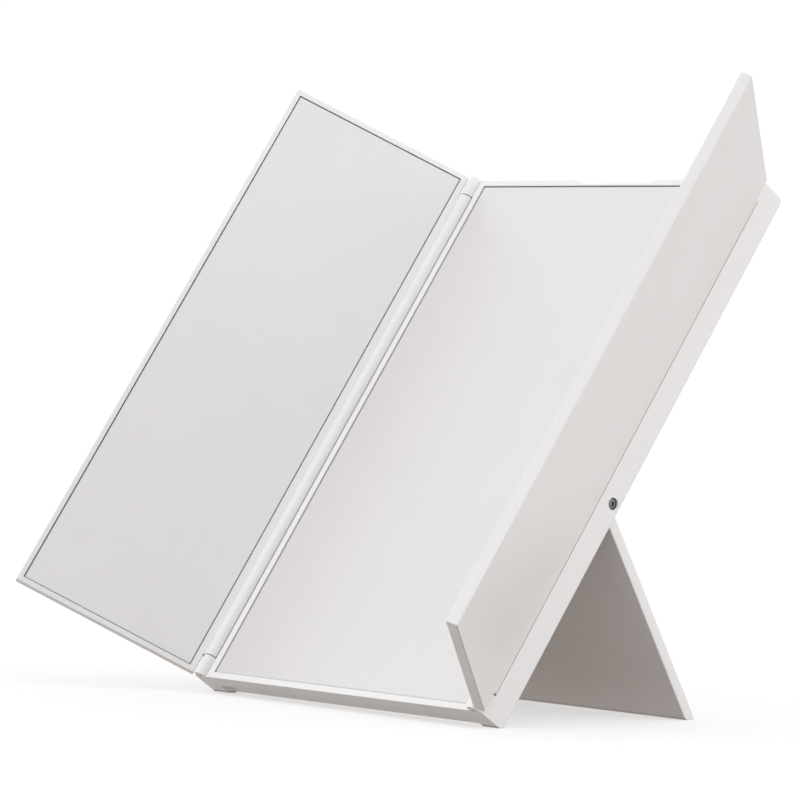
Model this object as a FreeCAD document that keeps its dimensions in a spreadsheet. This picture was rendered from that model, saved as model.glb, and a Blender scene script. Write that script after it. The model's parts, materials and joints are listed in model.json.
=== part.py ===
import FreeCAD, Part
import math
import os

import Sketcher

# Folding tabletop mirror: a centre panel, two half-width wings on vertical hinges and a rear support leg.
# Every sub-part is drawn in its panel's own frame: X to the right, Y backwards, Z up the panel.
# The panel then leans back until it stands on its two feet and on the toe of the open leg.

DIMENSIONS = {
    # centre panel
    "panel_height": 200.0,
    "axis_offset": 69.0,        # hinge axis from the middle of the panel
    "panel_half": 72.2,         # middle of the panel to the outer face of a side wall
    "panel_depth": 11.0,        # front rim to back edge; the hinge axes lie in the rim's plane
    "side_wall": 2.0,
    "end_wall": 2.1,
    "web_back": 3.9,            # back face of the web that carries the glass
    "lip_depth": 2.25,          # side wall's front edge behind the hinge axis
    "seat_half": 63.7,
    "seat_margin": 2.1,
    "foot_width": 8.0,
    "foot_height": 1.6,
    "foot_flat": 1.5,
    "relief_start": 5.0,        # the underside between the feet steps up behind here
    "back_round": 0.8,
    "top_round": 2.0,           # on the back of the top edge
    "finger_half": 19.5,        # finger notch in the top edge
    "finger_offset": 3.0,
    "finger_ramp": 3.0,
    "finger_depth": 1.3,
    "finger_reach": 3.0,
    # glass, the same in all three panels
    "glass_setback": 0.3,
    "glass_thickness": 1.2,
    "glass_gap": 0.3,
    "glass_bevel": 0.25,
    "adhesive_thickness": 0.25,
    "adhesive_inset": 3.0,
    # hinges
    "knuckle_length": 7.0,
    "knuckle_gap": 0.3,
    "barrel_radius": 2.4,
    "channel_radius": 2.7,
    "shoulder_out": 2.04,        # where the knuckle's flank leaves its round
    "shoulder_front": 1.27,
    "shoulder_back": 0.6,
    "pin_radius": 0.75,
    "pin_bore": 0.8,
    "pin_inset": 0.9,
    "pin_length": 12.2,
    "pin_point": 0.2,
    "bore_length": 6.0,
    # wings
    "wing_width": 68.75,
    "wing_thickness": 3.75,
    "wing_setback": 0.3,        # wing's rim behind its hinge axis
    "wing_end_gap": 0.1,
    "wing_notch": 3.0,
    "wing_root_round": 1.2,
    "wing_edge_round": 0.4,
    "wing_seat_root": 5.0,
    "wing_seat_border": 1.7,
    # support leg
    "pivot_height": 81.0,
    "pivot_depth": 7.6,
    "leg_half": 69.9,
    "leg_inner": 3.0,           # pivot axis to the leg's inner face
    "leg_outer": 0.7,           # pivot axis to the leg's outer face
    "leg_length": 78.45,
    "leg_edge_round": 0.4,
    "toe_start": 0.6,
    "toe_flat": 1.6,
    "toe_bevel": 2.4,
    "heel_flat": 0.6,
    "heel_corner_inner": 2.0,   # the heel's inner corner, from the pivot axis
    "heel_corner_rise": 2.19,
    "heel_root_rise": 0.6,      # where the heel's slope leaves the leg's inner face
    "heel_clearance": 0.05,
    # leg pivot screws
    "shank_radius": 1.0,
    "shank_bore": 1.05,
    "thread_length": 7.5,
    "boss_radius": 2.2,         # a boss on the leg round each screw
    "boss_length": 9.0,
    "head_radius": 1.8,
    "head_height": 0.6,
    "head_bore": 1.95,
    "head_clearance": 0.05,
    "head_bore_depth": 1.2,
    "head_bevel": 0.15,
    "socket_radius": 0.85,
    "socket_depth": 0.4,
    # angles in degrees
    "lean_angle": 33.7,         # centre panel back from upright
    "leg_angle": 63.4,          # leg out from its folded place
    "left_wing_angle": 51.3,    # wing forward from the centre panel's plane
    "right_wing_angle": 54.2,
}

VECTOR = FreeCAD.Vector
X_AXIS = VECTOR(1, 0, 0)
Z_AXIS = VECTOR(0, 0, 1)
SIDES = (("left", -1), ("right", 1))

doc = FreeCAD.newDocument("FoldingMirror")
sheet = doc.addObject("Spreadsheet::Sheet", "Dims")
for row, (alias, size) in enumerate(DIMENSIONS.items(), start=1):
    sheet.set(f"A{row}", alias)
    sheet.set(f"B{row}", str(size))
    sheet.setAlias(f"B{row}", alias)
doc.recompute()


def dim(expression):
    """The present value of an expression in the sheet's aliases, each written with a leading @."""
    return float(sheet.evalExpression(expression.replace("@", "Dims.")))


def bind(target, prop, expression):
    target.setExpression(prop, expression.replace("@", "Dims."))


def new_body(label):
    body = doc.addObject("PartDesign::Body", label)
    body.Label = label
    return body


def new_sketch(body, name, role, offset="0"):
    """A sketch on one of the body's own origin planes, moved along that plane's normal."""
    sketch = body.newObject("Sketcher::SketchObject", name)
    plane = next(f for f in body.Origin.OriginFeatures if f.Role == role)
    sketch.AttachmentSupport = (plane, [""])
    sketch.MapMode = "FlatFace"
    bind(sketch, "AttachmentOffset.Base.z", offset)
    return sketch


def place_point(sketch, geometry, position, point):
    """Ties a point of the sketch to the sketch's origin with two bound distances."""
    for kind, expression in zip(("DistanceX", "DistanceY"), point):
        index = sketch.addConstraint(
            Sketcher.Constraint(kind, -1, 1, geometry, position, dim(expression)))
        bind(sketch, f"Constraints[{index}]", expression)


def draw_outline(sketch, points):
    """A closed outline of straight edges through points given as pairs of expressions."""
    first = sketch.GeometryCount
    corners = [VECTOR(dim(across), dim(along), 0) for across, along in points]
    for start, end in zip(corners, corners[1:] + corners[:1]):
        sketch.addGeometry(Part.LineSegment(start, end), False)
    for number in range(len(points)):
        following = first + (number + 1) % len(points)
        sketch.addConstraint(Sketcher.Constraint("Coincident", first + number, 2, following, 1))
    for number, point in enumerate(points):
        place_point(sketch, first + number, 1, point)


def draw_rectangle(sketch, left, bottom, right, top):
    draw_outline(sketch, [(left, bottom), (right, bottom), (right, top), (left, top)])


def draw_circle(sketch, across, along, radius):
    circle = Part.Circle(VECTOR(dim(across), dim(along), 0), Z_AXIS, dim(radius))
    geometry = sketch.addGeometry(circle, False)
    place_point(sketch, geometry, 3, (across, along))
    index = sketch.addConstraint(Sketcher.Constraint("Radius", geometry, dim(radius)))
    bind(sketch, f"Constraints[{index}]", radius)


def extrude(body, kind, sketch, length, reverse=False, middle=False):
    """Adds a Pad or a Pocket, and makes sure that it added or removed material."""
    before = body.Shape.Volume if body.Tip else 0.0
    feature = body.newObject(f"PartDesign::{kind}", f"{kind}_{sketch.Name}")
    feature.Profile = sketch
    feature.Reversed = reverse
    feature.Midplane = middle
    bind(feature, "Length", length)
    sketch.Visibility = False
    doc.recompute()
    change = body.Shape.Volume - before
    if (change if kind == "Pad" else -change) < 1e-3:
        raise RuntimeError(f"{feature.Name} in {body.Label} changed nothing")
    return feature


def dress_edges(body, kind, prop, size, wanted):
    """Adds a Fillet or Chamfer on the edges of the tip that the test picks out."""
    tip = body.Tip
    names = [f"Edge{n}" for n, edge in enumerate(tip.Shape.Edges, start=1) if wanted(edge)]
    feature = body.newObject(f"PartDesign::{kind}", f"{kind}_{body.Name}_{size.strip('@')}")
    feature.Base = (tip, names)
    bind(feature, prop, size)
    doc.recompute()
    return feature


def runs_along(edge, axis, **planes):
    """True for a straight edge along an axis that lies in the given planes, such as x=3.0."""
    if not isinstance(edge.Curve, (Part.Line, Part.LineSegment)):
        return False
    direction = edge.tangentAt(edge.FirstParameter)
    if abs(getattr(direction, axis)) < 0.999:
        return False
    middle = edge.valueAt((edge.FirstParameter + edge.LastParameter) / 2)
    return all(abs(getattr(middle, name) - place) < 1e-3 for name, place in planes.items())


def add_knuckle_features(body):
    """Channels for the wing barrels, and a knuckle at each end of each hinge axis."""
    channels = new_sketch(body, "channels", "XY_Plane", "@knuckle_length")
    lips = new_sketch(body, "lips", "XY_Plane", "@knuckle_length")
    for name, side in SIDES:
        draw_circle(channels, f"{side} * @axis_offset", "0", "@channel_radius")
        draw_rectangle(lips, f"{side} * @axis_offset", "-1",
                       f"{side} * (@panel_half + 1)", "@lip_depth")
    between = "@panel_height - 2 * @knuckle_length"
    extrude(body, "Pocket", channels, between, reverse=True)
    extrude(body, "Pocket", lips, between, reverse=True)
    for end, offset in (("bottom", "0"), ("top", "@panel_height - @knuckle_length")):
        rounds = new_sketch(body, f"{end}_knuckles", "XY_Plane", offset)
        flanks = new_sketch(body, f"{end}_flanks", "XY_Plane", offset)
        for name, side in SIDES:
            draw_circle(rounds, f"{side} * @axis_offset", "0", "@barrel_radius")
            draw_outline(flanks, [
                (f"{side} * @axis_offset", "0"),
                (f"{side} * (@axis_offset + @shoulder_out)", "-1 * @shoulder_front"),
                (f"{side} * @panel_half", "@shoulder_back"),
                (f"{side} * @axis_offset", "@shoulder_back"),
            ])
        extrude(body, "Pad", rounds, "@knuckle_length")
        extrude(body, "Pad", flanks, "@knuckle_length")
    bores = new_sketch(body, "pin_bores", "XY_Plane")
    for name, side in SIDES:
        draw_circle(bores, f"{side} * @axis_offset", "0", "@pin_radius")
    extrude(body, "Pocket", bores, "@panel_height", reverse=True)


def add_pivot_holes(body):
    """A through hole and a recess for a screw head in each side wall."""
    through = new_sketch(body, "pivot_bore", "YZ_Plane")
    draw_circle(through, "@pivot_depth", "@pivot_height", "@shank_bore")
    extrude(body, "Pocket", through, "2 * @panel_half + 2", middle=True)
    for name, side in SIDES:
        recess = new_sketch(body, f"{name}_head_recess", "YZ_Plane", f"{side} * @panel_half")
        draw_circle(recess, "@pivot_depth", "@pivot_height", "@head_bore")
        extrude(body, "Pocket", recess, "@head_bore_depth", reverse=side < 0)


def make_centre_housing():
    body = new_body("centre_housing")
    block = new_sketch(body, "block", "XY_Plane")
    draw_rectangle(block, "-1 * @panel_half", "0", "@panel_half", "@panel_depth")
    extrude(body, "Pad", block, "@panel_height")
    depth = dim("@panel_depth")
    half = dim("@panel_half")
    height = dim("@panel_height")
    dress_edges(body, "Fillet", "Radius", "@top_round", lambda edge: (
        runs_along(edge, "x", y=depth, z=height)))
    dress_edges(body, "Fillet", "Radius", "@back_round", lambda edge: (
        runs_along(edge, "z", y=depth)))
    seat = new_sketch(body, "glass_seat", "XZ_Plane")
    draw_rectangle(seat, "-1 * @seat_half", "@seat_margin", "@seat_half", "@panel_height - @seat_margin")
    extrude(body, "Pocket", seat, "@glass_setback + @glass_thickness + @adhesive_thickness")
    recess = new_sketch(body, "leg_recess", "XZ_Plane", "-1 * @panel_depth")
    inner = "@panel_half - @side_wall"
    draw_rectangle(recess, f"-1 * ({inner})", "@end_wall", inner, "@panel_height - @end_wall")
    extrude(body, "Pocket", recess, "@panel_depth - @web_back", reverse=True)
    relief = new_sketch(body, "foot_relief", "XZ_Plane", "-1 * @panel_depth - 1")
    inner = "@panel_half - @foot_width"
    draw_outline(relief, [
        (f"-1 * ({inner})", "0"),
        (inner, "0"),
        (f"{inner} - @foot_height", "@foot_height"),
        (f"-1 * ({inner} - @foot_height)", "@foot_height"),
    ])
    extrude(body, "Pocket", relief, "@panel_depth + 1 - @relief_start", reverse=True)
    flats = new_sketch(body, "foot_flats", "YZ_Plane")
    draw_outline(flats, [
        ("@panel_depth - @foot_flat", "0"),
        ("@panel_depth + 1", "0"),
        ("@panel_depth + 1", "(@foot_flat + 1) * tan(@lean_angle)"),
    ])
    extrude(body, "Pocket", flats, "2 * @panel_half + 2", middle=True)
    finger = new_sketch(body, "finger_notch", "XZ_Plane")
    draw_outline(finger, [
        ("@finger_offset - @finger_half", "@panel_height"),
        ("@finger_offset - @finger_half + @finger_ramp", "@panel_height - @finger_depth"),
        ("@finger_offset + @finger_half - @finger_ramp", "@panel_height - @finger_depth"),
        ("@finger_offset + @finger_half", "@panel_height"),
    ])
    extrude(body, "Pocket", finger, "@finger_reach")
    add_knuckle_features(body)
    add_pivot_holes(body)
    return body


def make_glass(label, left, bottom, right, top, front):
    """A mirror pane with ground front edges; front is the Y of its face."""
    body = new_body(label)
    outline = new_sketch(body, f"{label}_outline", "XZ_Plane", f"-1 * ({front})")
    gap = "@glass_gap"
    inward = "1" if dim(right) > dim(left) else "-1"
    draw_rectangle(outline, f"{left} + {inward} * {gap}", f"{bottom} + {gap}",
                   f"{right} - {inward} * {gap}", f"{top} - {gap}")
    extrude(body, "Pad", outline, "@glass_thickness", reverse=True)
    face = dim(front)
    dress_edges(body, "Chamfer", "Size", "@glass_bevel", lambda edge: (
        runs_along(edge, "x", y=face) or runs_along(edge, "z", y=face)))
    return body


def make_adhesive(label, left, bottom, right, top, front):
    """The double-sided sheet between a pane and the floor of its seat."""
    body = new_body(label)
    outline = new_sketch(body, f"{label}_outline", "XZ_Plane", f"-1 * ({front} + @glass_thickness)")
    inset = "@adhesive_inset"
    inward = "1" if dim(right) > dim(left) else "-1"
    draw_rectangle(outline, f"{left} + {inward} * {inset}", f"{bottom} + {inset}",
                   f"{right} - {inward} * {inset}", f"{top} - {inset}")
    extrude(body, "Pad", outline, "@adhesive_thickness", reverse=True)
    return body


def make_wing_frame(name, side):
    """A wing with its barrel; the hinge axis is Z and the wing reaches out along side times X."""
    body = new_body(f"{name}_wing_frame")
    width = f"{side} * @wing_width"
    length = "@panel_height - 2 * @wing_end_gap"
    plate = new_sketch(body, f"{name}_plate", "XY_Plane", "@wing_end_gap")
    draw_rectangle(plate, "0", "@wing_setback", width, "@wing_setback + @wing_thickness")
    extrude(body, "Pad", plate, length)
    front = dim("@wing_setback")
    back = dim("@wing_setback + @wing_thickness")
    far = side * dim("@wing_width")
    bottom = dim("@wing_end_gap")
    top = dim("@panel_height - @wing_end_gap")
    dress_edges(body, "Fillet", "Radius", "@wing_root_round", lambda edge: (
        runs_along(edge, "z", x=0.0, y=back)))
    dress_edges(body, "Fillet", "Radius", "@wing_edge_round", lambda edge: (
        runs_along(edge, "z", x=far) or runs_along(edge, "x", y=back, z=bottom)
        or runs_along(edge, "x", y=back, z=top)))
    notches = "@knuckle_length + @knuckle_gap - @wing_end_gap"
    ends = (("bottom", "@wing_end_gap"), ("top", "@panel_height - @knuckle_length - @knuckle_gap"))
    for end, offset in ends:
        notch = new_sketch(body, f"{name}_{end}_notch", "XY_Plane", offset)
        draw_rectangle(notch, f"{-side}", "0", f"{side} * @wing_notch", "@wing_setback + @wing_thickness + 1")
        extrude(body, "Pocket", notch, notches, reverse=True)
    barrel = new_sketch(body, f"{name}_barrel", "XY_Plane", "@knuckle_length + @knuckle_gap")
    draw_circle(barrel, "0", "0", "@barrel_radius")
    extrude(body, "Pad", barrel, "@panel_height - 2 * (@knuckle_length + @knuckle_gap)")
    bores = (("bottom", "@knuckle_length + @knuckle_gap", True),
             ("top", "@panel_height - @knuckle_length - @knuckle_gap", False))
    for end, offset, upward in bores:
        bore = new_sketch(body, f"{name}_{end}_bore", "XY_Plane", offset)
        draw_circle(bore, "0", "0", "@pin_bore")
        extrude(body, "Pocket", bore, "@bore_length", reverse=upward)
    seat = new_sketch(body, f"{name}_seat", "XZ_Plane", "-1 * @wing_setback")
    draw_rectangle(seat, *wing_seat(side))
    extrude(body, "Pocket", seat, "@glass_setback + @glass_thickness + @adhesive_thickness")
    return body


def wing_seat(side):
    """Left, bottom, right and top of a wing's glass seat, as expressions."""
    border = "@wing_end_gap + @wing_seat_border"
    return (f"{side} * @wing_seat_root", border,
            f"{side} * (@wing_width - @wing_seat_border)", f"@panel_height - ({border})")


def make_hinge_pin(label):
    """A steel pin about Z, with both ends slightly pointed."""
    body = new_body(label)
    section = new_sketch(body, f"{label}_round", "XY_Plane")
    draw_circle(section, "0", "0", "@pin_radius")
    extrude(body, "Pad", section, "@pin_length")
    dress_edges(body, "Chamfer", "Size", "@pin_point", lambda edge: (
        isinstance(edge.Curve, Part.Circle)))
    return body


def make_support_leg():
    """The rear leg in its folded place, with its pivot axis along X through the origin."""
    body = new_body("support_leg")
    section = new_sketch(body, "leg_section", "YZ_Plane")
    slope = "tan(@leg_angle - @lean_angle)"
    reach = "(@pivot_depth - @web_back - @heel_clearance)"
    heel_rise = f"({reach} / sin(@leg_angle)"
    draw_outline(section, [
        ("@leg_outer", "-1 * @leg_length"),
        ("@leg_outer", f"{heel_rise} + @leg_outer / tan(@leg_angle))"),
        ("-1 * @heel_flat", f"{heel_rise} - @heel_flat / tan(@leg_angle))"),
        ("-1 * @heel_corner_inner", "@heel_corner_rise"),
        ("-1 * @leg_inner", "@heel_root_rise"),
        ("-1 * @leg_inner", "@toe_bevel - @leg_length"),
        ("-1 * (@toe_start + @toe_flat)", f"@toe_flat * {slope} - @leg_length"),
        ("-1 * @toe_start", "-1 * @leg_length"),
    ])
    extrude(body, "Pad", section, "2 * @leg_half", middle=True)
    outer = dim("@leg_outer")
    inner = -dim("@leg_inner")
    half = dim("@leg_half")
    dress_edges(body, "Fillet", "Radius", "@leg_edge_round", lambda edge: (
        runs_along(edge, "x", y=outer) or any(
            runs_along(edge, "z", x=end, y=face) for end in (-half, half) for face in (outer, inner))))
    for name, side in SIDES:
        boss = new_sketch(body, f"{name}_screw_boss", "YZ_Plane", f"{side} * @leg_half")
        draw_circle(boss, "0", "0", "@boss_radius")
        extrude(body, "Pad", boss, "@boss_length", reverse=side > 0)
        bore = new_sketch(body, f"{name}_screw_bore", "YZ_Plane", f"{side} * @leg_half")
        draw_circle(bore, "0", "0", "@shank_radius")
        extrude(body, "Pocket", bore, "@thread_length", reverse=side < 0)
    return body


def make_pivot_screw(name, side):
    """A recessed-head screw along X, with the leg's pivot axis through its centre."""
    body = new_body(f"leg_pivot_screw_{name}")
    seat = "(@panel_half - @head_bore_depth + @head_clearance)"
    outward = side > 0
    head = new_sketch(body, f"{name}_head", "YZ_Plane", f"{side} * {seat}")
    draw_circle(head, "0", "0", "@head_radius")
    extrude(body, "Pad", head, "@head_height", reverse=not outward)
    rim = side * dim(f"{seat} + @head_height")
    dress_edges(body, "Chamfer", "Size", "@head_bevel", lambda edge: (
        isinstance(edge.Curve, Part.Circle) and abs(edge.Curve.Center.x - rim) < 1e-3))
    shank = new_sketch(body, f"{name}_shank", "YZ_Plane", f"{side} * {seat}")
    draw_circle(shank, "0", "0", "@shank_radius")
    extrude(body, "Pad", shank, f"{seat} - @leg_half + @thread_length", reverse=outward)
    socket = new_sketch(body, f"{name}_socket", "YZ_Plane", f"{side} * ({seat} + @head_height)")
    corner = "@socket_radius * {}(60 * {})"
    draw_outline(socket, [(corner.format("cos", turn), corner.format("sin", turn)) for turn in range(6)])
    extrude(body, "Pocket", socket, "@socket_depth", reverse=not outward)
    return body


def turned(axis, angle):
    return FreeCAD.Placement(VECTOR(), FreeCAD.Rotation(axis, angle))


def moved(across, back, up):
    return FreeCAD.Placement(VECTOR(across, back, up), FreeCAD.Rotation())


# The panel's own frame in the standing mirror: it leans back, and its feet touch the ground.
lean = turned(X_AXIS, -dim("@lean_angle"))
foot_drop = dim("(@panel_depth - @foot_flat) * sin(@lean_angle)")
panel_frame = moved(0, 0, foot_drop).multiply(lean)

placed = []
centre_seat = ("-1 * @seat_half", "@seat_margin", "@seat_half", "@panel_height - @seat_margin")
placed.append((make_centre_housing(), panel_frame))
placed.append((make_glass("centre_mirror", *centre_seat, "@glass_setback"), panel_frame))
placed.append((make_adhesive("centre_mirror_adhesive", *centre_seat, "@glass_setback"), panel_frame))

for name, side in SIDES:
    axis_frame = panel_frame.multiply(moved(side * dim("@axis_offset"), 0, 0))
    opening = turned(Z_AXIS, -side * dim(f"@{name}_wing_angle"))
    wing_frame = axis_frame.multiply(opening)
    wing_face = "@wing_setback + @glass_setback"
    placed.append((make_wing_frame(name, side), wing_frame))
    placed.append((make_glass(f"{name}_wing_mirror", *wing_seat(side), wing_face), wing_frame))
    placed.append((make_adhesive(f"{name}_wing_adhesive", *wing_seat(side), wing_face), wing_frame))
    pin_places = (("bottom", "@pin_inset"), ("top", "@panel_height - @pin_inset - @pin_length"))
    for end, height in pin_places:
        pin_frame = axis_frame.multiply(moved(0, 0, dim(height)))
        placed.append((make_hinge_pin(f"{name}_hinge_pin_{end}"), pin_frame))

pivot_frame = panel_frame.multiply(moved(0, dim("@pivot_depth"), dim("@pivot_height")))
leg_frame = pivot_frame.multiply(turned(X_AXIS, dim("@leg_angle")))
placed.append((make_support_leg(), leg_frame))
for name, side in SIDES:
    placed.append((make_pivot_screw(name, side), leg_frame))

doc.recompute()


def assembled_box():
    box = FreeCAD.BoundBox()
    for part, frame in placed:
        box.add(part.Shape.optimalBoundingBox(False, False))
    return box


# The origin is the middle of the standing mirror's footprint, on the ground.
for part, frame in placed:
    part.Placement = frame
doc.recompute()
box = assembled_box()
centring = moved(-(box.XMin + box.XMax) / 2, -(box.YMin + box.YMax) / 2, 0)
for part, frame in placed:
    part.Placement = centring.multiply(frame)
doc.recompute()

for item in doc.Objects:
    if "Invalid" in item.State or "Error" in item.State:
        raise RuntimeError(f"{item.Label} failed: {item.State}")
for part, frame in placed:
    if part.Shape.isNull() or not part.Shape.isValid() or len(part.Shape.Solids) != 1:
        raise RuntimeError(f"{part.Label} is not one valid solid")

os.makedirs("parts", exist_ok=True)
for part, frame in placed:
    part.Shape.exportStep(f"parts/{part.Label}.step")

box = assembled_box()
print(f"{len(placed)} sub-parts, {box.XLength:.2f} x {box.YLength:.2f} x {box.ZLength:.2f} mm")
print(f"lowest point {box.ZMin:.4f} mm, centring {centring.Base.x:.4f}, {centring.Base.y:.4f} mm")
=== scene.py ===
import json
import math

import bmesh
import bpy
from mathutils import Euler, Matrix, Vector


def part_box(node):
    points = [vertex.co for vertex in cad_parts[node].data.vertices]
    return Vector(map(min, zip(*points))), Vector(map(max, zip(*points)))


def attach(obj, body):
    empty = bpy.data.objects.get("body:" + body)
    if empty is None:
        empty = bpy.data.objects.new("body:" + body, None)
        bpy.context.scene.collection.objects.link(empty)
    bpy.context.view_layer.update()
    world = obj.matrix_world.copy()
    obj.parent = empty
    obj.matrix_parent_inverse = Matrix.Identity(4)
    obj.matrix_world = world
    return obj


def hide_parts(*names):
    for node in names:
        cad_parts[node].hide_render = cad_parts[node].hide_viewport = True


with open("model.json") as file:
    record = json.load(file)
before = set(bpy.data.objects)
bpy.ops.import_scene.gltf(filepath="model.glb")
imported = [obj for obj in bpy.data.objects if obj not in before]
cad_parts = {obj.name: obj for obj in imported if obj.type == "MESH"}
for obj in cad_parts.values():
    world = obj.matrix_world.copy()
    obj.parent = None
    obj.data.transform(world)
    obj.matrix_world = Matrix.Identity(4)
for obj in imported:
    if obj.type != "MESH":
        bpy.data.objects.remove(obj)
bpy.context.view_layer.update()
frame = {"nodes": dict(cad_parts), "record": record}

MM = 0.001

# ---------------------------------------------------------------- camera

CAMERA_PLACE = Vector((1.17424, -0.97346, 0.12262))
CAMERA_AZIMUTH = math.radians(50.686)
CAMERA_ELEVATION = math.radians(0.931)
CAMERA_ROLL = math.radians(1.780)
CAMERA_LENS = 214.5
SENSOR = 36.0
CLIP_NEAR = 0.05
CLIP_FAR = 50.0


def make_camera():
    """A long lens to the right of the mirror, nearly level with the table."""
    data = bpy.data.cameras.new("camera")
    data.lens = CAMERA_LENS
    data.sensor_width = SENSOR
    data.clip_start = CLIP_NEAR
    data.clip_end = CLIP_FAR
    camera = bpy.data.objects.new("camera", data)
    bpy.context.collection.objects.link(camera)
    level = Euler((math.pi / 2 - CAMERA_ELEVATION, 0.0, CAMERA_AZIMUTH)).to_matrix()
    camera.rotation_euler = (level @ Matrix.Rotation(CAMERA_ROLL, 3, "Z")).to_euler()
    camera.location = CAMERA_PLACE
    bpy.context.scene.camera = camera


make_camera()

# ---------------------------------------------------------------- node helpers

# A Mix node's factor, its two inputs and its result, by their places in the node's socket lists.
VALUE_MIX = (0, 2, 3)
VALUE_RESULT = 0
COLOUR_MIX = (0, 6, 7)
COLOUR_RESULT = 2

# How closely a rounded normal agrees with the face's own, on a sharp edge and on a flat.
EDGE_TURN = 0.80
FLAT_TURN = 0.995
BEVEL_SAMPLES = 4


def supply(tree, value, socket):
    """Joins a node's output to a socket, or sets the socket to a constant."""
    if isinstance(value, bpy.types.NodeSocket):
        tree.links.new(value, socket)
    else:
        socket.default_value = value


class Shader:
    """A material's node tree, with short ways to add and join its nodes."""

    def __init__(self, name):
        self.material = bpy.data.materials.new(name)
        self.material.use_nodes = True
        self.tree = self.material.node_tree
        self.tree.nodes.clear()
        self.output = self.add("ShaderNodeOutputMaterial")
        self.surface = self.add("ShaderNodeBsdfPrincipled")
        self.join(self.surface, "BSDF", self.output, "Surface")
        self.coordinates = self.add("ShaderNodeTexCoord")
        self.place = self.coordinates.outputs["Object"]

    def add(self, kind, **settings):
        """A new node with the given settings."""
        node = self.tree.nodes.new(kind)
        for key, value in settings.items():
            setattr(node, key, value)
        return node

    def join(self, start, output, end, socket):
        """Joins one node's output to another node's socket."""
        self.tree.links.new(start.outputs[output], end.inputs[socket])

    def set(self, **sockets):
        """Constant values, straight on the Principled shader."""
        for name, value in sockets.items():
            self.surface.inputs[name.replace("_", " ")].default_value = value

    def noise(self, size, detail=3.0, stretch=(1, 1, 1)):
        """Noise with features of about the given size in metres, from 0 to 1."""
        mapping = self.add("ShaderNodeMapping")
        mapping.inputs["Scale"].default_value = stretch
        self.tree.links.new(self.place, mapping.inputs["Vector"])
        node = self.add("ShaderNodeTexNoise")
        node.inputs["Scale"].default_value = 1.0 / size
        node.inputs["Detail"].default_value = detail
        self.join(mapping, "Vector", node, "Vector")
        return node.outputs["Fac"]

    def ramp(self, value, low, high, from_low=0.2, from_high=0.8):
        """Eases a value from one range of numbers onto another, and stops at its ends."""
        node = self.add("ShaderNodeMapRange", interpolation_type="SMOOTHSTEP")
        node.inputs["From Min"].default_value = from_low
        node.inputs["From Max"].default_value = from_high
        node.inputs["To Min"].default_value = low
        node.inputs["To Max"].default_value = high
        self.tree.links.new(value, node.inputs["Value"])
        return node.outputs["Result"]

    def mix_colour(self, factor, first, second):
        """The first colour where the factor is 0, the second where it is 1."""
        node = self.add("ShaderNodeMix", data_type="RGBA")
        for socket, value in zip(COLOUR_MIX, (factor, first, second)):
            supply(self.tree, value, node.inputs[socket])
        return node.outputs[COLOUR_RESULT]

    def mix_value(self, factor, first, second):
        """The first number where the factor is 0, the second where it is 1."""
        node = self.add("ShaderNodeMix")
        for socket, value in zip(VALUE_MIX, (factor, first, second)):
            supply(self.tree, value, node.inputs[socket])
        return node.outputs[VALUE_RESULT]

    def edges(self, reach):
        """1 on a sharp edge, falling to 0 at the given distance from it."""
        rounded = self.add("ShaderNodeBevel", samples=BEVEL_SAMPLES)
        rounded.inputs["Radius"].default_value = reach
        facing = self.add("ShaderNodeVectorMath", operation="DOT_PRODUCT")
        self.join(rounded, "Normal", facing, 0)
        self.join(self.add("ShaderNodeNewGeometry"), "Normal", facing, 1)
        return self.ramp(facing.outputs["Value"], 1.0, 0.0, EDGE_TURN, FLAT_TURN)

    def feed(self, value, socket):
        """Joins a node's output to the Principled shader."""
        self.tree.links.new(value, self.surface.inputs[socket])

    def bump(self, *layers):
        """Stacks bumps, each a (height, depth in metres) pair."""
        normal = None
        for height, depth in layers:
            node = self.add("ShaderNodeBump")
            node.inputs["Distance"].default_value = depth
            self.tree.links.new(height, node.inputs["Height"])
            if normal is not None:
                self.tree.links.new(normal, node.inputs["Normal"])
            normal = node.outputs["Normal"]
        self.feed(normal, "Normal")


# ---------------------------------------------------------------- materials

PLASTIC_SHADE = (0.861, 0.853, 0.855, 1)
PLASTIC_LIGHT = (0.881, 0.876, 0.879, 1)
# Colour painted on sharp edges as a highlight.
PLASTIC_EDGE_HIGHLIGHT = (0.918, 0.915, 0.916, 1)
PLASTIC_SPECK = (0.79, 0.785, 0.78, 1)
# Painted shade: the colours that ambient occlusion lays into seams and gaps, darker on the housing than on
# the wings.
WING_SEAM_SHADE = (0.55, 0.52, 0.52, 1)
HOUSING_SEAM_SHADE = (0.30, 0.27, 0.27, 1)
SEAM_SHADE_REACH = 1.0 * MM
SEAM_SHADE_SAMPLES = 8
SEAM_SHADE_FULL = 0.20
SEAM_SHADE_NONE = 0.70
# How far the painted edge highlight and the smoother, worn edges reach from an edge.
EDGE_HIGHLIGHT_AND_POLISH_REACH = 0.6 * MM
FLOW_SIZE = 45 * MM
FLOW_STRETCH = (1.0, 0.6, 0.4)
SPECK_SIZE = 2.2 * MM
SPECK_SHARE = 0.4
SPECK_FROM = 0.66
SPECK_TO = 0.80
SMUDGE_SIZE = 18 * MM
POLISHED = 0.29
CLEAN = 0.30
DULL = 0.42
GRAIN_SIZE = 0.5 * MM
GRAIN_DEPTH = 0.016 * MM
SINK_SIZE = 30 * MM
SINK_DEPTH = 0.10 * MM


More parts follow.
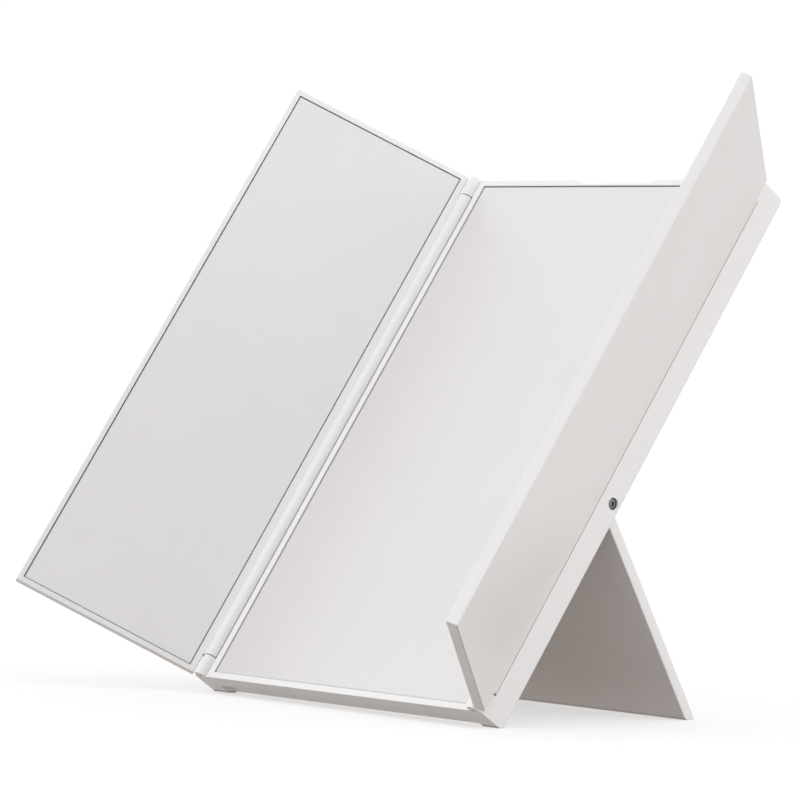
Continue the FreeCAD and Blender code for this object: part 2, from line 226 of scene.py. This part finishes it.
def white_plastic(name, seam_shade_colour):
    """White ABS: fine grain, faint flow and sink marks, specks, dull patches, edges painted brighter as a
    highlight and polished smoother, and painted shade darkening the seams.
    """
    shader = Shader(name)
    shader.set(IOR=1.50, Specular_IOR_Level=0.5)
    flow = shader.noise(FLOW_SIZE, detail=2.0, stretch=FLOW_STRETCH)
    body = shader.mix_colour(shader.ramp(flow, 0.0, 1.0), PLASTIC_SHADE, PLASTIC_LIGHT)
    # Painted highlight: the colour is lightened along sharp edges.
    body = shader.mix_colour(shader.edges(EDGE_HIGHLIGHT_AND_POLISH_REACH), body, PLASTIC_EDGE_HIGHLIGHT)
    specks = shader.noise(SPECK_SIZE, detail=1.0)
    speck_share = shader.ramp(specks, 0.0, SPECK_SHARE, SPECK_FROM, SPECK_TO)
    body = shader.mix_colour(speck_share, body, PLASTIC_SPECK)
    # Painted shade: where ambient occlusion finds a crevice, the colour darkens towards the seam shade
    # colour.
    seam_occlusion = shader.add("ShaderNodeAmbientOcclusion", samples=SEAM_SHADE_SAMPLES)
    seam_occlusion.inputs["Distance"].default_value = SEAM_SHADE_REACH
    shade = shader.ramp(seam_occlusion.outputs["AO"], 1.0, 0.0, SEAM_SHADE_FULL, SEAM_SHADE_NONE)
    shader.feed(shader.mix_colour(shade, body, seam_shade_colour), "Base Color")
    patches = shader.ramp(shader.noise(SMUDGE_SIZE, detail=4.0), CLEAN, DULL)
    shader.feed(shader.mix_value(shader.edges(EDGE_HIGHLIGHT_AND_POLISH_REACH), patches, POLISHED), "Roughness")
    grain = shader.noise(GRAIN_SIZE, detail=2.0)
    sink = shader.noise(SINK_SIZE, detail=1.0)
    shader.bump((sink, SINK_DEPTH), (grain, GRAIN_DEPTH))
    return shader.material


SILVER_DARK = (0.792, 0.770, 0.775, 1)
SILVER_LIGHT = (0.808, 0.786, 0.790, 1)
GROUND_DARK = (0.62, 0.68, 0.66, 1)
GROUND_LIGHT = (0.74, 0.78, 0.76, 1)
BACKING_PAINT = (0.20, 0.19, 0.18, 1)
HAZE_SIZE = 30 * MM
GROUND_SIZE = 0.6 * MM
WAVE_SIZE = 60 * MM
WAVE_DEPTH = 0.02 * MM
ASKEW = 0.97
SQUARE_ON = 0.99
SILVER_METAL = 0.52
FILM_SMOOTH = 0.29
FILM_ROUGH = 0.34
GROUND_ROUGH = 0.55


def mirror_glass(name, front):
    """Silvered glass under a frosted film, with ground edges and grey backing paint.

    front is the way the pane faces, so that the face, the edges and the back can differ.
    """
    shader = Shader(name)
    haze = shader.noise(HAZE_SIZE)
    silver = shader.mix_colour(shader.ramp(haze, 0.0, 1.0), SILVER_DARK, SILVER_LIGHT)
    ground = shader.mix_colour(shader.noise(GROUND_SIZE, detail=2.0), GROUND_DARK, GROUND_LIGHT)
    facing = shader.add("ShaderNodeVectorMath", operation="DOT_PRODUCT")
    facing.inputs[1].default_value = front
    shader.join(shader.coordinates, "Normal", facing, 0)
    on_face = shader.ramp(facing.outputs["Value"], 0.0, 1.0, ASKEW, SQUARE_ON)
    on_back = shader.ramp(facing.outputs["Value"], 1.0, 0.0, -SQUARE_ON, -ASKEW)
    colour = shader.mix_colour(on_face, ground, silver)
    shader.feed(shader.mix_colour(on_back, colour, BACKING_PAINT), "Base Color")
    shader.feed(shader.ramp(on_face, 0.0, SILVER_METAL, 0.0, 1.0), "Metallic")
    film = shader.ramp(haze, FILM_SMOOTH, FILM_ROUGH)
    shader.feed(shader.mix_value(on_face, GROUND_ROUGH, film), "Roughness")
    shader.bump((shader.noise(WAVE_SIZE, detail=1.0), WAVE_DEPTH))
    return shader.material


FOAM_DARK = (0.62, 0.62, 0.60, 1)
FOAM_LIGHT = (0.75, 0.75, 0.73, 1)
CELL_SIZE = 0.6 * MM
CELL_DEPTH = 0.08 * MM
FOAM_ROUGH = 0.9


def foam_adhesive():
    """Double-sided foam sheet, with open cells in its cut edge."""
    shader = Shader("foam_adhesive")
    shader.set(Roughness=FOAM_ROUGH)
    cells = shader.noise(CELL_SIZE, detail=2.0)
    shader.feed(shader.mix_colour(cells, FOAM_DARK, FOAM_LIGHT), "Base Color")
    shader.bump((cells, CELL_DEPTH))
    return shader.material


STEEL_DARK = (0.07, 0.07, 0.072, 1)
STEEL_LIGHT = (0.17, 0.17, 0.175, 1)
STEEL_SMOOTH = 0.28
STEEL_ROUGH = 0.45
LINE_SIZE = 0.6 * MM
LINE_STRETCH = (6.0, 6.0, 0.6)
LINE_DEPTH = 0.01 * MM


def drawn_steel():
    """Dark steel with fine lines and a dulled surface."""
    shader = Shader("drawn_steel")
    shader.set(Metallic=1.0)
    lines = shader.noise(LINE_SIZE, stretch=LINE_STRETCH)
    shader.feed(shader.mix_colour(lines, STEEL_DARK, STEEL_LIGHT), "Base Color")
    shader.feed(shader.ramp(lines, STEEL_SMOOTH, STEEL_ROUGH), "Roughness")
    shader.bump((lines, LINE_DEPTH))
    return shader.material


LEAN = math.radians(33.7)
PANEL_FRONT = Vector((0.0, -math.cos(LEAN), math.sin(LEAN)))
PANEL_SIDE = Vector((1.0, 0.0, 0.0))
# How far each wing stands up from flat, in degrees.
LEFT_OPENING = 51.3
RIGHT_OPENING = 54.2


def wing_front(side, opening):
    """The way a wing's mirror faces, when it is turned up by opening from flat."""
    angle = math.radians(opening)
    return PANEL_FRONT * math.cos(angle) - PANEL_SIDE * side * math.sin(angle)


PLASTIC = white_plastic("white_plastic", WING_SEAM_SHADE)
STEEL = drawn_steel()
FOAM = foam_adhesive()
NODE_MATERIALS = {
    "centre_housing": white_plastic("white_plastic_housing", HOUSING_SEAM_SHADE),
    "centre_mirror": mirror_glass("centre_glass", PANEL_FRONT),
    "left_wing_mirror": mirror_glass("left_glass", wing_front(-1, LEFT_OPENING)),
    "right_wing_mirror": mirror_glass("right_glass", wing_front(1, RIGHT_OPENING)),
}
SLOT_MATERIALS = {"white_plastic": PLASTIC, "adhesive_sheet": FOAM, "steel": STEEL}


def dress(thing, material):
    """Gives an object one material."""
    thing.data.materials.clear()
    thing.data.materials.append(material)


# ---------------------------------------------------------------- pieces

node_slots = {part["node"]: part["material_slot"] for part in frame["record"]["subparts"]}
node_bodies = {
    node: body
    for body, nodes in frame["record"]["behaviour"]["bodies"].items()
    for node in nodes
}


def finish_of(node):
    """A node's own material, or the one that its material slot has."""
    return NODE_MATERIALS.get(node) or SLOT_MATERIALS[node_slots[node]]


for node, thing in frame["nodes"].items():
    dress(thing, finish_of(node))

EDGE_RADIUS = 0.25 * MM
EDGE_SEGMENTS = 3
SHARP_ANGLE = math.radians(32)
FLAT_ANGLE = math.radians(0.5)
WELD_DISTANCE = 0.002 * MM
FACE_WEIGHT = 100
SOFTENED = {
    "centre_housing": "centre_tray",
    "left_wing_frame": "left_wing_shell",
    "right_wing_frame": "right_wing_shell",
    "support_leg": "leg_plate",
}


def soften(node, name):
    """A copy of a CAD node with every sharp edge rounded, as a moulding comes out of its tool."""
    source = frame["nodes"][node]
    mesh = bmesh.new()
    mesh.from_mesh(source.data)
    bmesh.ops.remove_doubles(mesh, verts=mesh.verts, dist=WELD_DISTANCE)
    bmesh.ops.dissolve_limit(mesh, angle_limit=FLAT_ANGLE, verts=mesh.verts, edges=mesh.edges)
    for face in mesh.faces:
        face.smooth = True
    data = bpy.data.meshes.new(name)
    mesh.to_mesh(data)
    mesh.free()
    piece = bpy.data.objects.new(name, data)
    bpy.context.collection.objects.link(piece)
    bevel = piece.modifiers.new("rounded_edges", "BEVEL")
    bevel.width = EDGE_RADIUS
    bevel.segments = EDGE_SEGMENTS
    bevel.limit_method = "ANGLE"
    bevel.angle_limit = SHARP_ANGLE
    bevel.use_clamp_overlap = True
    weight = piece.modifiers.new("flat_faces_stay_flat", "WEIGHTED_NORMAL")
    weight.weight = FACE_WEIGHT
    weight.keep_sharp = True
    dress(piece, finish_of(node))
    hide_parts(node)
    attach(piece, node_bodies[node])


for node, name in SOFTENED.items():
    soften(node, name)

THREAD_LENGTH = 7.5 * MM
THREAD_PITCH = 0.70 * MM
THREAD_DEPTH = 0.26 * MM
THREAD_STEPS = 10
SHANK_RADIUS = 1.0 * MM
TIP_LENGTH = 1.2 * MM
TIP_RADIUS = 0.45 * MM
HEAD_HEIGHT = 0.6 * MM
HEAD_CROWN = 0.12 * MM
HEAD_CHAMFER = 0.06 * MM
HEAD_EDGE = 0.05 * MM
HEAD_ROUND = 0.20 * MM
NECK_FLARE = 0.12 * MM
SHANK_RUNOUT = 0.15 * MM
SOCKET_RADIUS = 0.85 * MM
SOCKET_DEPTH = 0.40 * MM
# The socket's lip, mouth and floor, as shares of its radius.
SOCKET_LIP = 1.06
SOCKET_MOUTH = 0.99
SOCKET_FLOOR = 0.97
SOCKET_RINGS = 2
ROUND_SEGMENTS = 40
SMOOTH_ANGLE = math.radians(35)


def thread_radius(reach, angle):
    """The screw's radius at a distance from its tip: a spiral ridge that rises out of the point."""
    turns = reach / THREAD_PITCH - angle / (2 * math.pi)
    valley = abs(2 * (turns % 1.0) - 1)
    taper = min(1.0, reach / TIP_LENGTH)
    crest = TIP_RADIUS + (SHANK_RADIUS - TIP_RADIUS) * taper
    return crest - THREAD_DEPTH * valley * taper


def screw_rings(length, head_radius):
    """The screw's rings, as (distance from the tip, radius at an angle) pairs.

    They run from the tip over the head and down into the socket, whose last rings are hexagons.
    """
    count = int(THREAD_LENGTH / THREAD_PITCH * THREAD_STEPS)
    rings = []
    for step in range(count + 1):
        reach = THREAD_LENGTH * step / count
        rings.append((reach, lambda angle, reach=reach: thread_radius(reach, angle)))
    head_start = length - HEAD_HEIGHT
    plain = (
        (THREAD_LENGTH + SHANK_RUNOUT, SHANK_RADIUS),
        (head_start - NECK_FLARE, SHANK_RADIUS),
        (head_start, SHANK_RADIUS + NECK_FLARE),
        (head_start, head_radius - HEAD_CHAMFER),
        (head_start + HEAD_EDGE, head_radius),
        (length - HEAD_ROUND, head_radius),
        (length - HEAD_ROUND * 0.55, head_radius - HEAD_CROWN / 3),
        (length - HEAD_ROUND * 0.3, head_radius - HEAD_CROWN),
        (length - HEAD_CROWN * 0.3, head_radius * 0.85),
        (length, SOCKET_RADIUS * SOCKET_LIP),
        (length, SOCKET_RADIUS * SOCKET_MOUTH),
        (length - SOCKET_DEPTH, SOCKET_RADIUS * SOCKET_FLOOR),
    )
    for reach, radius in plain:
        rings.append((reach, lambda angle, radius=radius: radius))
    return rings


def hexagon(angle):
    """How far a hexagon's side lies from its centre, for a corner at distance 1."""
    sector = math.pi / 3
    return math.cos(sector / 2) / math.cos((angle % sector) - sector / 2)


def make_screw(node, side):
    """A self-tapping screw with a hexagonal socket, head outwards, where the CAD screw is."""
    low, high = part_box(node)
    middle = (Vector(low) + Vector(high)) / 2
    length = high[0] - low[0]
    head_radius = (high[2] - low[2]) / 2
    tip = low[0] if side > 0 else high[0]
    rings = screw_rings(length, head_radius)
    mesh = bmesh.new()
    loops = []
    for index, (reach, radius_at) in enumerate(rings):
        loop = []
        for turn in range(ROUND_SEGMENTS):
            angle = 2 * math.pi * turn / ROUND_SEGMENTS
            radius = radius_at(angle)
            if index >= len(rings) - SOCKET_RINGS:
                radius *= hexagon(angle)
            loop.append(mesh.verts.new((
                tip + side * reach,
                middle.y + radius * math.cos(angle),
                middle.z + radius * math.sin(angle),
            )))
        loops.append(loop)
    for first, second in zip(loops, loops[1:]):
        for turn in range(ROUND_SEGMENTS):
            after = (turn + 1) % ROUND_SEGMENTS
            mesh.faces.new((first[turn], first[after], second[after], second[turn]))
    mesh.faces.new(loops[0])
    mesh.faces.new(loops[-1])
    bmesh.ops.recalc_face_normals(mesh, faces=mesh.faces)
    data = bpy.data.meshes.new(node + "_turned")
    mesh.to_mesh(data)
    mesh.free()
    data.shade_smooth()
    data.set_sharp_from_angle(angle=SMOOTH_ANGLE)
    screw = bpy.data.objects.new(node + "_turned", data)
    bpy.context.collection.objects.link(screw)
    dress(screw, STEEL)
    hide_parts(node)
    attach(screw, node_bodies[node])


make_screw("leg_pivot_screw_left", -1)
make_screw("leg_pivot_screw_right", 1)

# ---------------------------------------------------------------- stage and light

FLOOR_HALF = 30.0
FLOOR_GLOW = 0.55
FLOOR_ROUGH = 0.9
FLOOR_GREY = (0.46, 0.46, 0.46, 1)

WHITE = (1, 1, 1, 1)
CAMERA_SIDE = (0.77, -0.63, 0.0)
CAMERA_SIDE_WHITE = (0.84, 0.84, 0.84, 1)
CAMERA_SIDE_SPREAD = (0.1, 0.9)
UPWARD = (0.0, 0.0, 1.0)
BELOW_FLOOR_SPREAD = (-0.22, -0.06)
BELOW_FLOOR = (0.195, 0.152, 0.124, 1)
DOME_STRENGTH = 1.02


def make_floor():
    """A pale floor. It takes the shadow, and throws no light back at the mirror's underside."""
    data = bpy.data.meshes.new("floor")
    mesh = bmesh.new()
    corners = [(-1, -1), (1, -1), (1, 1), (-1, 1)]
    mesh.faces.new([mesh.verts.new((x * FLOOR_HALF, y * FLOOR_HALF, 0.0)) for x, y in corners])
    mesh.to_mesh(data)
    mesh.free()
    floor = bpy.data.objects.new("floor", data)
    bpy.context.collection.objects.link(floor)
    floor.visible_diffuse = False
    shader = Shader("pale_floor")
    shader.set(Roughness=FLOOR_ROUGH, Specular_IOR_Level=0.0, Base_Color=FLOOR_GREY)
    shader.set(Emission_Color=WHITE, Emission_Strength=FLOOR_GLOW)
    dress(floor, shader.material)


def make_world():
    """A white dome, a little dimmer on the camera's side, that darkens and warms below the floor."""
    world = bpy.data.worlds.new("studio")
    world.use_nodes = True
    tree = world.node_tree
    direction = tree.nodes.new("ShaderNodeTexCoord").outputs["Generated"]

    def part_of(vector):
        """How far a direction points along a vector, from -1 to 1."""
        node = tree.nodes.new("ShaderNodeVectorMath")
        node.operation = "DOT_PRODUCT"
        tree.links.new(direction, node.inputs[0])
        node.inputs[1].default_value = vector
        return node.outputs["Value"]

    def blend(value, low, high, from_low, from_high):
        """Runs from one colour to another as a value rises."""
        share = tree.nodes.new("ShaderNodeMapRange")
        share.interpolation_type = "SMOOTHSTEP"
        share.inputs["From Min"].default_value = from_low
        share.inputs["From Max"].default_value = from_high
        tree.links.new(value, share.inputs["Value"])
        mix = tree.nodes.new("ShaderNodeMix")
        mix.data_type = "RGBA"
        for socket, given in zip(COLOUR_MIX, (share.outputs["Result"], low, high)):
            supply(tree, given, mix.inputs[socket])
        return mix.outputs[COLOUR_RESULT]

    dome = blend(part_of(CAMERA_SIDE), WHITE, CAMERA_SIDE_WHITE, *CAMERA_SIDE_SPREAD)
    whole = blend(part_of(UPWARD), BELOW_FLOOR, dome, *BELOW_FLOOR_SPREAD)
    background = tree.nodes["Background"]
    background.inputs["Strength"].default_value = DOME_STRENGTH
    tree.links.new(whole, background.inputs["Color"])
    bpy.context.scene.world = world


def make_softbox(name, place, aim, width, height, strength, mirrored=True):
    """A rectangular softbox. Strength is its brightness, on the scale where white is 1."""
    data = bpy.data.lights.new(name, "AREA")
    data.shape = "RECTANGLE"
    data.size = width
    data.size_y = height
    data.energy = strength * math.pi * width * height
    lamp = bpy.data.objects.new(name, data)
    bpy.context.collection.objects.link(lamp)
    lamp.location = place
    lamp.rotation_euler = (Vector(aim) - Vector(place)).to_track_quat("-Z", "Y").to_euler()
    lamp.visible_glossy = mirrored


make_floor()
make_world()
make_softbox(
    "side_softbox", place=(1.2, 0.72, 0.40), aim=(0.0, 0.0, 0.08),
    width=1.0, height=0.8, strength=2.1,
)
make_softbox(
    "high_softbox", place=(0.62, -0.40, 1.05), aim=(-0.10, -0.03, 0.10),
    width=0.8, height=0.5, strength=0.16,
)
make_softbox(
    "front_fill", place=(-0.35, -1.2, 0.15), aim=(0.0, 0.0, 0.05),
    width=0.9, height=0.25, strength=5.4, mirrored=False,
)
bpy.context.scene.view_settings.view_transform = "Standard"
